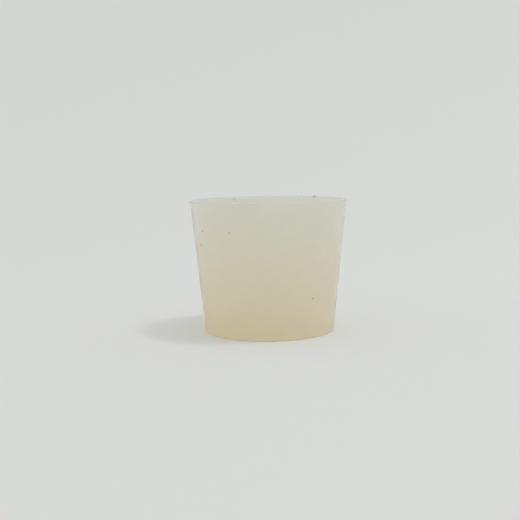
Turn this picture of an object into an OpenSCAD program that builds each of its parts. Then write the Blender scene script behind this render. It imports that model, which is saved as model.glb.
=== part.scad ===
// Tapered laboratory stopper: one solid moulding in translucent silicone rubber.
// It has no bore and no recess. The narrow end is down, as it goes into a neck,
// and the origin is the centre of the narrow end's face, with +Z up the axis.

/* [Body] */
// Diameter of the narrow end, taken where the taper meets the face
small_d = 29; // [20:0.5:34]
// Diameter of the wide end, taken where the taper meets the face
large_d = 35; // [25:0.5:42]
// Height between the two faces
height = 29.4; // [15:0.1:45]

/* [Edges] */
// Radius of the rounded edge at the narrow end
small_edge_r = 0.45; // [0.1:0.05:1.5]
// Radius of the rounded edge at the wide end
large_edge_r = 0.3; // [0.1:0.05:1.5]

/* [Hidden] */

$fn = 180;

small_r = small_d / 2;
large_r = large_d / 2;
// The taper, as a run in radius over the height, and the length of the slant
run = large_r - small_r;
slant = sqrt(height * height + run * run);
// Outward normal of the tapered side, in the plane of the section
side_n = [height / slant, -run / slant];
// How far the drawn side stands inside the edge rounds, so that they cross it cleanly
tuck = 0.0005;
// Centres of the two edge rounds, each touching its face and the taper
small_c = [small_r - small_edge_r * (slant - run) / height, small_edge_r];
large_c = [large_r - large_edge_r * (slant + run) / height, height - large_edge_r];

// One edge round, as the disc that the section's corner is drawn to
module edge_round(centre, r) {
    translate(centre) circle(r = r);
}

// Half of the stopper's section, on the +X side of the axis
module half_section() {
    union() {
        polygon([
            [0, 0],
            [small_c[0], 0],
            small_c + (small_edge_r - tuck) * side_n,
            large_c + (large_edge_r - tuck) * side_n,
            [large_c[0], height],
            [0, height]
        ]);
        edge_round(small_c, small_edge_r);
        edge_round(large_c, large_edge_r);
    }
}

module stopper() {
    color([0.80, 0.77, 0.69])
        rotate_extrude()
            half_section();
}

stopper();
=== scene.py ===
import math

import bpy
from mathutils import Matrix, Vector, noise


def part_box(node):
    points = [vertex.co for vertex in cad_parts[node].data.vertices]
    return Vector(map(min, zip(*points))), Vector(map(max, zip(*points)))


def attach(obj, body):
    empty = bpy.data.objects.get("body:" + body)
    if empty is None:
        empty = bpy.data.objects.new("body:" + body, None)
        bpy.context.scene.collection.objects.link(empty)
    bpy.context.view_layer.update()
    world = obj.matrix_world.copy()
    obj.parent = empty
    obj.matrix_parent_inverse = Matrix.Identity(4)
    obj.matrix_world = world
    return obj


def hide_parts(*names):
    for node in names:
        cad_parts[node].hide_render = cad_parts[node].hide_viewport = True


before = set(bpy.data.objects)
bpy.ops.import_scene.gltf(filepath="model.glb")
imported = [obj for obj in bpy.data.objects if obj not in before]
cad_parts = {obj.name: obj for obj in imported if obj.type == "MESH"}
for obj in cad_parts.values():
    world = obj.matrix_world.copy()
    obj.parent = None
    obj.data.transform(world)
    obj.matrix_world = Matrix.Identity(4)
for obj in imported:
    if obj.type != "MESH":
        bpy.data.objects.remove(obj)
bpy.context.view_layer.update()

scene = bpy.context.scene
MM = 0.001

# ---------------------------------------------------------------- light and material settings
# Lights: an even pale surround, one soft lamp overhead and to the right, and a faint one low behind
WORLD = 0.68
WORLD_TOP = 0.004  # the surround is a hair brighter overhead than at the sides
KEY = 1.25
KEY_AT = (0.36, -0.06, 0.95)
KEY_SIZE = (0.14, 0.14)
FILL = 0.16
FILL_AT = (0.5, 0.7, 0.2)
FILL_SIZE = (0.4, 0.4)

# Floor: pale paper
PAPER = (0.87, 0.885, 0.87, 1)
FLOOR_Z = -0.00003  # a hair of air under the base, which never seals to the paper
SWEEP_RUN = 0.60
SWEEP_RISE = 0.26

# Skin: clear at the wide end, painted amber towards the narrow end, standing in for light that has passed down
# through the body
TINT_LARGE = (1.0, 1.0, 1.0, 1)
PAINTED_AMBER_SMALL = (0.99, 0.945, 0.87, 1)
TINT_FROM = 8.0  # height in mm where the painted amber starts to fade
SKIN_ROUGH = 0.79
IOR = 1.41
SHEEN = 0.2
SHEEN_ROUGH = 0.42
SHEEN_TINT = (1.0, 1.0, 1.0, 1)

# Wide face: chalky, most of all along its rim; its near half is painted yellower to damp the blue light scattering
# out of its front rim, and its rim is painted a shade darker
FACE_NEAR = (0.830, 0.820, 0.785, 1)
FACE_FAR = (0.815, 0.812, 0.800, 1)
FACE_FROM = 0.38  # mm below the top where the chalky skin begins
FACE_MATT = 0.50
FACE_ROUGH = 1.0
RIM_MATT = 0.9
RIM_WIDE = 1.6
# painted shade along the wide face's rim
RIM_PAINTED_SHADE = 0.09

# Narrow face: matt, and painted amber, warming the light it sends back up into the body
BASE_PAINTED_AMBER = (1.0, 0.91, 0.74, 1)
BASE_MATT = 0.9

# Body: cloudy, scattering blue most, so that thick parts turn amber
SIGMA_S = (26.0, 54.0, 107.0)  # scattering per metre, for red, green and blue
SIGMA_A = (4.05, 4.35, 8.2)  # absorption per metre
SCATTER_G = 0.0
VOLUME_BOUNCES = 20
GLOSSY_BOUNCES = 16
ALL_BOUNCES = 32

# Fine unevenness
WORN = 0.04
CLOUDS = 0.02
MOTTLE = 0.05
BUMP = 0.1

# ---------------------------------------------------------------- the stopper's size, from the frame
low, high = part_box("stopper")
HEIGHT = high.z - low.z
ROUND_SMALL = 0.45 * MM  # the rounded edge at the narrow end
ROUND_LARGE = 0.30 * MM  # the rounded edge at the wide end
TAPER = 3.0 / 29.4  # run in radius over the height
SLANT = math.hypot(1.0, TAPER)
# The widest point lies on the top round; the sharp radii follow from it.
R_LARGE = (high.x - low.x) / 2 + ROUND_LARGE * (SLANT + TAPER) - ROUND_LARGE
R_SMALL = R_LARGE - TAPER * HEIGHT


# ---------------------------------------------------------------- camera
def make_camera():
    cam = bpy.data.objects.new("camera", bpy.data.cameras.new("camera"))
    scene.collection.objects.link(cam)
    cam.data.sensor_width = 36.0
    cam.data.lens = 906.43 / 520 * 36.0
    cam.data.clip_start = 0.005
    cam.data.clip_end = 5.0
    pitch, roll = math.radians(6.5991), math.radians(-0.8047)
    forward = Vector((0, math.cos(pitch), -math.sin(pitch)))
    down0 = Vector((0, -math.sin(pitch), -math.cos(pitch)))
    right0 = Vector((1, 0, 0))
    c, s = math.cos(roll), math.sin(roll)
    right = c * right0 - s * down0
    down = s * right0 + c * down0
    m = Matrix.Identity(4)
    for i in range(3):
        m[i][0], m[i][1], m[i][2] = right[i], -down[i], -forward[i]
    m[0][3], m[1][3], m[2][3] = -1.9965 * MM, -202.7473 * MM, 39.1943 * MM
    cam.matrix_world = m
    scene.camera = cam


make_camera()


# ---------------------------------------------------------------- helpers for node materials
class Nodes:
    """A thin wrapper that makes and links shader nodes."""

    def __init__(self, name):
        self.material = bpy.data.materials.new(name)
        self.material.use_nodes = True
        self.tree = self.material.node_tree
        self.tree.nodes.clear()
        self.out = self.tree.nodes.new("ShaderNodeOutputMaterial")

    def new(self, kind, **settings):
        n = self.tree.nodes.new(kind)
        for k, v in settings.items():
            setattr(n, k, v)
        return n

    def link(self, a, b):
        self.tree.links.new(a, b)

    def put(self, socket, value):
        if isinstance(value, bpy.types.NodeSocket):
            self.link(value, socket)
        else:
            socket.default_value = value

    def math(self, op, a, b=None, c=None, clamp=False):
        n = self.new("ShaderNodeMath", operation=op, use_clamp=clamp)
        for s, v in zip(n.inputs, (a, b, c)):
            if v is not None:
                self.put(s, v)
        return n.outputs[0]

    def ramp(self, value, low, high, to_low=0.0, to_high=1.0, smooth=True):
        n = self.new("ShaderNodeMapRange", interpolation_type="SMOOTHSTEP" if smooth else "LINEAR")
        for s, v in zip(n.inputs, (value, low, high, to_low, to_high)):
            self.put(s, v)
        return n.outputs[0]

    def noise(self, where, scale, detail=3.0, rough=0.55, distortion=0.0):
        n = self.new("ShaderNodeTexNoise")
        self.link(where, n.inputs["Vector"])
        n.inputs["Scale"].default_value = scale
        n.inputs["Detail"].default_value = detail
        n.inputs["Roughness"].default_value = rough
        n.inputs["Distortion"].default_value = distortion
        return n.outputs["Fac"]

    def mix(self, factor, a, b):
        n = self.new("ShaderNodeMix", data_type="RGBA")
        self.put(n.inputs[0], factor)
        self.put(n.inputs[6], a)
        self.put(n.inputs[7], b)
        return n.outputs[2]


# ---------------------------------------------------------------- stage: pale sweep and soft lights
def make_sweep():
    """A pale floor that rises gently all round, so that every view has the same plain backdrop and no horizon."""
    n = 128
    profile = [(0.03 * i, 0.0) for i in range(8)]
    for i in range(1, 31):
        t = i / 30
        profile.append((0.21 + SWEEP_RUN * t, SWEEP_RISE * t * t))
    verts, faces = [(0.0, 0.0, 0.0)], []
    for r, z in profile[1:]:
        for j in range(n):
            t = 2 * math.pi * j / n
            verts.append((r * math.cos(t), r * math.sin(t), z))
    for j in range(n):
        faces.append((0, 1 + j, 1 + (j + 1) % n))
    for i in range(len(profile) - 2):
        for j in range(n):
            a, b = 1 + i * n + j, 1 + i * n + (j + 1) % n
            faces.append((a, a + n, b + n, b))
    mesh = bpy.data.meshes.new("sweep")
    mesh.from_pydata(verts, [], faces)
    mesh.shade_smooth()
    o = bpy.data.objects.new("sweep", mesh)
    scene.collection.objects.link(o)
    s = Nodes("sweep_paper")
    b = s.new("ShaderNodeBsdfPrincipled")
    b.inputs["Base Color"].default_value = PAPER
    b.inputs["Roughness"].default_value = 0.9
    b.inputs["Specular IOR Level"].default_value = 0.2
    s.link(b.outputs[0], s.out.inputs["Surface"])
    mesh.materials.append(s.material)
    o.location.z = FLOOR_Z


def area_light(name, at, toward, size, power, colour=(1, 1, 1)):
    d = bpy.data.lights.new(name, "AREA")
    d.shape = "RECTANGLE"
    d.size, d.size_y = size
    d.energy = power
    d.color = colour
    o = bpy.data.objects.new(name, d)
    scene.collection.objects.link(o)
    o.location = at
    o.rotation_mode = "QUATERNION"
    o.rotation_quaternion = (Vector(toward) - Vector(at)).to_track_quat("-Z", "Y")
    return o


def make_lights():
    world = bpy.data.worlds.new("studio")
    scene.world = world
    world.use_nodes = True
    tree = world.node_tree
    surround = tree.nodes["Background"]
    surround.inputs["Color"].default_value = (1, 1, 1, 1)
    where = tree.nodes.new("ShaderNodeTexCoord")
    split = tree.nodes.new("ShaderNodeSeparateXYZ")
    tree.links.new(where.outputs["Generated"], split.inputs[0])
    glow = tree.nodes.new("ShaderNodeMapRange")
    glow.interpolation_type = "SMOOTHSTEP"
    for socket, value in zip(glow.inputs[1:5], (0.0, 1.0, WORLD, WORLD + WORLD_TOP)):
        socket.default_value = value
    tree.links.new(split.outputs["Z"], glow.inputs[0])
    tree.links.new(glow.outputs[0], surround.inputs["Strength"])
    area_light("key", KEY_AT, (0, 0, 0.01), KEY_SIZE, KEY)
    area_light("fill", FILL_AT, (0, 0, 0.01), FILL_SIZE, FILL)


make_sweep()
make_lights()


# ---------------------------------------------------------------- the stopper's mesh
AROUND = 384  # points round each ring
SKIN_WAVE = 0.05 * MM  # depth of the skin's unevenness, always inwards of the moulded size
CAP = AROUND // 4  # squares along each side of the grid that fills an end face


def section_rings():
    """(radius, height) of each ring of the outside, from the narrow end's flat to the wide end's."""
    normal = Vector((1.0, -TAPER)) / SLANT
    c_small = Vector((R_SMALL - ROUND_SMALL * (SLANT - TAPER), ROUND_SMALL))
    c_large = Vector((R_LARGE - ROUND_LARGE * (SLANT + TAPER), HEIGHT - ROUND_LARGE))
    tilt = math.atan2(normal.y, normal.x)
    rings = []
    for i in range(8):
        a = -math.pi / 2 + (tilt + math.pi / 2) * i / 7
        rings.append(c_small + ROUND_SMALL * Vector((math.cos(a), math.sin(a))))
    start, end = rings[-1].copy(), c_large + ROUND_LARGE * normal
    rows = 100
    for i in range(1, rows):
        rings.append(start.lerp(end, i / rows))
    for i in range(8):
        a = tilt + (math.pi / 2 - tilt) * i / 7
        rings.append(c_large + ROUND_LARGE * Vector((math.cos(a), math.sin(a))))
    return rings


def cap_grid(radius):
    """Points of a disc, as a square grid pressed into a circle, and the ring order of its edge."""
    pts = []
    for i in range(CAP + 1):
        for j in range(CAP + 1):
            a, b = 2 * i / CAP - 1, 2 * j / CAP - 1
            if a == 0 and b == 0:
                r, t = 0.0, 0.0
            elif abs(a) > abs(b):
                r, t = a, math.pi / 4 * b / a
            else:
                r, t = b, math.pi / 2 - math.pi / 4 * a / b
            pts.append((radius * r * math.cos(t), radius * r * math.sin(t)))
    return pts


# Grains standing on the wide face: (x, y) in mm, half width in mm, height in mm
LUMPS = [
    ((10.58, 3.80), 0.35, 0.64),
    ((-7.46, -1.76), 0.42, 0.24),
    ((-6.12, -2.14), 0.32, 0.20),
    ((7.68, -5.00), 0.26, 0.18),
]


def uneven(p):
    """0 to 1: the slow waviness of a moulded rubber skin, with a little finer unevenness on top."""
    slow = noise.noise(p / (8 * MM)) * 0.75 + noise.noise(p / (1.6 * MM) + Vector((7, 3, 5))) * 0.25
    return min(1.0, max(0.0, 0.5 + 0.9 * slow))


def gather(x, y):
    """Draw the grid's points together round each lump, so that it is carried by enough of them."""
    dx = dy = 0.0
    for (cx, cy), half, rise in LUMPS:
        cx, cy = cx * MM, cy * MM
        pull = 0.78 * math.exp(-((x - cx) ** 2 + (y - cy) ** 2) / (2 * (0.8 * MM) ** 2))
        dx += (cx - x) * pull
        dy += (cy - y) * pull
    return x + dx, y + dy


def lump(x, y):
    h = 0.0
    for (cx, cy), half, rise in LUMPS:
        d = math.hypot(x / MM - cx, y / MM - cy) / half
        h = max(h, rise * MM * math.sqrt(1 - d * d)) if d < 1 else h
    return h


def make_stopper():
    rings = section_rings()
    verts, faces = [], []
    for ring in rings:
        on_flat = min(1.0, ring.y / ROUND_SMALL)  # the narrow end keeps its flat foot
        for j in range(AROUND):
            # The grid's corner is at 45 degrees, so the ring's first point is put there too.
            t = math.pi / 4 + 2 * math.pi * j / AROUND
            p = Vector((ring.x * math.cos(t), ring.x * math.sin(t), ring.y))
            dent = SKIN_WAVE * uneven(p) * on_flat
            out = Vector((math.cos(t), math.sin(t), 0.0))
            drop = SKIN_WAVE * uneven(p) * max(0.0, (ring.y - (HEIGHT - ROUND_LARGE)) / ROUND_LARGE)
            verts.append(tuple(p - out * dent - Vector((0, 0, drop))))
    for i in range(len(rings) - 1):
        for j in range(AROUND):
            a, b = i * AROUND + j, i * AROUND + (j + 1) % AROUND
            faces.append((a, b, b + AROUND, a + AROUND))

    def cap(ring_index, up):
        ring = rings[ring_index]
        pts = cap_grid(ring.x)
        number = {}
        # The square's edge, walked from its (+,+) corner the way the angle grows.
        edge = [(CAP - k, CAP) for k in range(CAP)]
        edge += [(0, CAP - k) for k in range(CAP)]
        edge += [(k, 0) for k in range(CAP)]
        edge += [(CAP, k) for k in range(CAP)]
        for k, ij in enumerate(edge):
            number[ij] = ring_index * AROUND + k
        for i in range(CAP + 1):
            for j in range(CAP + 1):
                if (i, j) not in number:
                    x, y = pts[i * (CAP + 1) + j]
                    z = ring.y
                    if up:
                        x, y = gather(x, y)
                        z += lump(x, y) - SKIN_WAVE * uneven(Vector((x, y, z)))
                    number[(i, j)] = len(verts)
                    verts.append((x, y, z))
        for i in range(CAP):
            for j in range(CAP):
                q = [number[(i, j)], number[(i + 1, j)], number[(i + 1, j + 1)], number[(i, j + 1)]]
                faces.append(tuple(q if up else reversed(q)))

    cap(0, False)
    cap(len(rings) - 1, True)
    mesh = bpy.data.meshes.new("stopper_body")
    mesh.from_pydata(verts, [], faces)
    mesh.validate()
    mesh.shade_smooth()
    mesh.update()
    o = bpy.data.objects.new("stopper_body", mesh)
    scene.collection.objects.link(o)
    return o


# ---------------------------------------------------------------- the moulded silicone, with its specks
def on_side(azimuth, z):
    """A point of the side in millimetres; azimuth runs from the front (-Y) towards +X."""
    t = math.radians(azimuth)
    r = R_SMALL / MM + TAPER * z
    return r * math.sin(t), -r * math.cos(t), z


TOP_Z = HEIGHT / MM
# (point in mm, half sizes in mm, darkness): grains of dirt first, then faint smudges and a painted shade on the
# rim's right corner
GRAINS = [
    (on_side(-57.8, 23.21), (0.19, 0.19, 0.20), 0.95),
    (on_side(-29.8, 23.16), (0.34, 0.34, 0.22), 0.45),
    (on_side(-28.0, 22.90), (0.28, 0.28, 0.20), 0.22),
    (on_side(-62.8, 20.10), (0.22, 0.22, 0.22), 0.92),
    (on_side(36.6, 8.78), (0.20, 0.20, 0.27), 0.78),
    (on_side(32.9, 11.75), (0.50, 0.50, 0.24), 0.12),
    (on_side(-25.6, 28.54), (0.26, 0.26, 0.16), 0.22),
    (on_side(-20.3, 28.76), (0.28, 0.28, 0.16), 0.20),
    (on_side(19.0, 28.6), (0.24, 0.24, 0.16), 0.12),
    (on_side(-41.9, 0.41), (0.22, 0.22, 0.18), 0.42),
    (on_side(75.4, 0.25), (0.24, 0.24, 0.20), 0.42),
    ((10.58, 3.80, TOP_Z + 0.25), (0.58, 0.58, 0.80), 0.17),
    ((-7.46, -1.76, TOP_Z), (0.54, 0.58, 0.6), 0.56),
    ((-6.12, -2.14, TOP_Z), (0.42, 0.46, 0.6), 0.42),
    ((7.68, -5.00, TOP_Z), (0.32, 0.36, 0.6), 0.62),
    ((0.58, 2.86, TOP_Z), (0.40, 0.50, 0.6), 0.34),
    ((4.09, 6.68, TOP_Z), (0.40, 0.50, 0.6), 0.28),
    ((14.23, 3.61, TOP_Z), (0.45, 0.50, 0.6), 0.42),
    ((7.05, 5.78, TOP_Z), (0.36, 0.46, 0.6), 0.25),
]
SMUDGES_AND_RIM_SHADE = [
    (on_side(-19.1, 17.95), (0.40, 0.40, 0.30), 0.025),
    (on_side(-8.7, 27.6), (1.30, 1.30, 0.30), 0.030),
    (on_side(-14.0, 28.2), (1.60, 1.60, 0.35), 0.020),
    ((-6.8, -4.5, TOP_Z), (2.2, 2.0, 0.3), 0.030),
    # painted shade: the dark line along the right corner of the wide face's rim
    ((15.9, 3.6, TOP_Z), (1.8, 2.2, 0.5), 0.090),
]
DIRT = (0.09, 0.07, 0.05, 1)


def marks(s, where, rows):
    """How dark the listed marks are at a point, 0 to 1."""
    total = None
    for point, half, darkness in rows:
        n = s.new("ShaderNodeVectorMath", operation="MULTIPLY_ADD")
        s.link(where, n.inputs[0])
        n.inputs[1].default_value = tuple(1 / (h * MM) for h in half)
        n.inputs[2].default_value = tuple(-p / h for p, h in zip(point, half))
        span = s.new("ShaderNodeVectorMath", operation="LENGTH")
        s.link(n.outputs[0], span.inputs[0])
        mark = s.ramp(span.outputs["Value"], 0.35, 1.25, darkness, 0.0)
        total = mark if total is None else s.math("MAXIMUM", total, mark)
    return total


def silicone():
    s = Nodes("silicone")
    b = s.new("ShaderNodeBsdfPrincipled")
    where = s.new("ShaderNodeTexCoord").outputs["Object"]
    split = s.new("ShaderNodeSeparateXYZ")
    s.link(where, split.inputs[0])
    x, y, z = split.outputs
    up = s.ramp(z, TINT_FROM * MM, HEIGHT)
    face = s.ramp(z, HEIGHT - FACE_FROM * MM, HEIGHT - 0.05 * MM)
    # base: the narrow face, which is matt and painted amber
    base = s.ramp(z, 0.06 * MM, 0.0)
    flat = s.new("ShaderNodeVectorMath", operation="MULTIPLY")
    s.link(where, flat.inputs[0])
    flat.inputs[1].default_value = (1, 1, 0)
    reach = s.new("ShaderNodeVectorMath", operation="LENGTH")
    s.link(flat.outputs[0], reach.inputs[0])
    # edge: where the painted rim shade lies
    edge = s.ramp(reach.outputs["Value"], R_LARGE - 0.6 * MM, R_LARGE - 0.3 * MM)

    # dirt: grains where they lie on the seen surfaces
    ragged = s.new("ShaderNodeTexNoise")
    s.link(where, ragged.inputs["Vector"])
    ragged.inputs["Scale"].default_value = 1 / (0.25 * MM)
    ragged.inputs["Detail"].default_value = 1.0
    shift = s.new("ShaderNodeVectorMath", operation="MULTIPLY_ADD")
    s.link(ragged.outputs["Color"], shift.inputs[0])
    shift.inputs[1].default_value = (0.16 * MM,) * 3
    shift.inputs[2].default_value = (-0.08 * MM,) * 3
    loose = s.new("ShaderNodeVectorMath", operation="ADD")
    s.link(where, loose.inputs[0])
    s.link(shift.outputs[0], loose.inputs[1])
    dirt = marks(s, loose.outputs[0], GRAINS)

    # faint unevenness and painted shade: smudges, broad clouds, fine mottling below the front rim and on the wide
    # face, and painted shade on the rim's right corner
    clouds = s.ramp(s.noise(where, 1 / (5 * MM), 2.0), 0.35, 0.70, 0.0, CLOUDS)
    fine = s.ramp(s.noise(where, 1 / (0.7 * MM), 3.0, 0.6), 0.42, 0.68, 0.0, MOTTLE)
    patch = s.math("MULTIPLY", s.ramp(x, -9 * MM, -6.5 * MM), s.ramp(x, -2.0 * MM, -4.5 * MM))
    patch = s.math("MULTIPLY", patch, s.math("MULTIPLY", s.ramp(z, 27.2 * MM, 28.2 * MM), s.ramp(y, 0.0, -2 * MM)))
    fine = s.math("MULTIPLY", fine, s.math("MAXIMUM", s.math("MAXIMUM", patch, face), 0.25))
    dull_and_painted_shade = s.math("ADD", s.math("ADD", clouds, fine), marks(s, where, SMUDGES_AND_RIM_SHADE))

    # painted light: amber towards the narrow end and on the narrow face, in place of light that has passed down
    # through the body
    tint = s.mix(base, s.mix(up, PAINTED_AMBER_SMALL, TINT_LARGE), BASE_PAINTED_AMBER)
    # painted light: the wide face's near half yellower than its far half, damping the blue light that scatters out
    # of its front rim
    top = s.mix(s.ramp(y, -R_LARGE, R_LARGE, smooth=False), FACE_NEAR, FACE_FAR)
    # painted shade: the wide face's rim darkened, toning down the light line the lamps put on its round
    dull_and_painted_shade = s.math("ADD", dull_and_painted_shade, s.math("MULTIPLY", s.math("MULTIPLY", edge, face), RIM_PAINTED_SHADE))
    tint = s.mix(dull_and_painted_shade, s.mix(face, tint, top), (0, 0, 0, 1))
    s.link(s.mix(dirt, tint, DIRT), b.inputs["Base Color"])
    rim = s.ramp(reach.outputs["Value"], R_LARGE - RIM_WIDE * MM, R_LARGE - 0.3 * MM)
    chalky = s.math("MULTIPLY", face, s.math("MULTIPLY_ADD", rim, RIM_MATT - FACE_MATT, FACE_MATT))
    matt = s.math("ADD", chalky, s.math("MULTIPLY", base, BASE_MATT))
    clear = s.math("MULTIPLY", s.math("SUBTRACT", 1.0, matt), s.math("SUBTRACT", 1.0, dirt))
    s.link(clear, b.inputs["Transmission Weight"])
    rough = s.ramp(face, 0.0, 1.0, SKIN_ROUGH, FACE_ROUGH, smooth=False)
    worn = s.ramp(s.noise(where, 1 / (2.2 * MM), 3.0), 0.3, 0.7, -WORN, WORN)
    s.link(s.math("ADD", rough, worn, clamp=True), b.inputs["Roughness"])
    b.inputs["Sheen Weight"].default_value = SHEEN
    b.inputs["Sheen Roughness"].default_value = SHEEN_ROUGH
    b.inputs["Sheen Tint"].default_value = SHEEN_TINT
    b.inputs["IOR"].default_value = IOR

    bump = s.new("ShaderNodeBump")
    bump.inputs["Strength"].default_value = BUMP
    bump.inputs["Distance"].default_value = 0.02 * MM
    s.link(s.noise(where, 1 / (0.35 * MM), 3.0, 0.6), bump.inputs["Height"])
    s.link(bump.outputs[0], b.inputs["Normal"])
    s.link(b.outputs[0], s.out.inputs["Surface"])

    sc = s.new("ShaderNodeVolumeScatter")
    sc.inputs["Color"].default_value = (*(v / max(SIGMA_S) for v in SIGMA_S), 1)
    sc.inputs["Density"].default_value = max(SIGMA_S)
    sc.inputs["Anisotropy"].default_value = SCATTER_G
    ab = s.new("ShaderNodeVolumeAbsorption")
    ab.inputs["Color"].default_value = (*(1 - v / max(SIGMA_A) for v in SIGMA_A), 1)
    ab.inputs["Density"].default_value = max(SIGMA_A)
    add = s.new("ShaderNodeAddShader")
    s.link(sc.outputs[0], add.inputs[0])
    s.link(ab.outputs[0], add.inputs[1])
    s.link(add.outputs[0], s.out.inputs["Volume"])
    scene.cycles.volume_bounces = VOLUME_BOUNCES
    scene.cycles.glossy_bounces = GLOSSY_BOUNCES
    scene.cycles.max_bounces = ALL_BOUNCES
    scene.cycles.transmission_bounces = ALL_BOUNCES
    return s.material


body = make_stopper()
body.data.materials.append(silicone())
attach(body, "root")
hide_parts("stopper")

scene.view_settings.view_transform = "Standard"
scene.view_settings.look = "None"
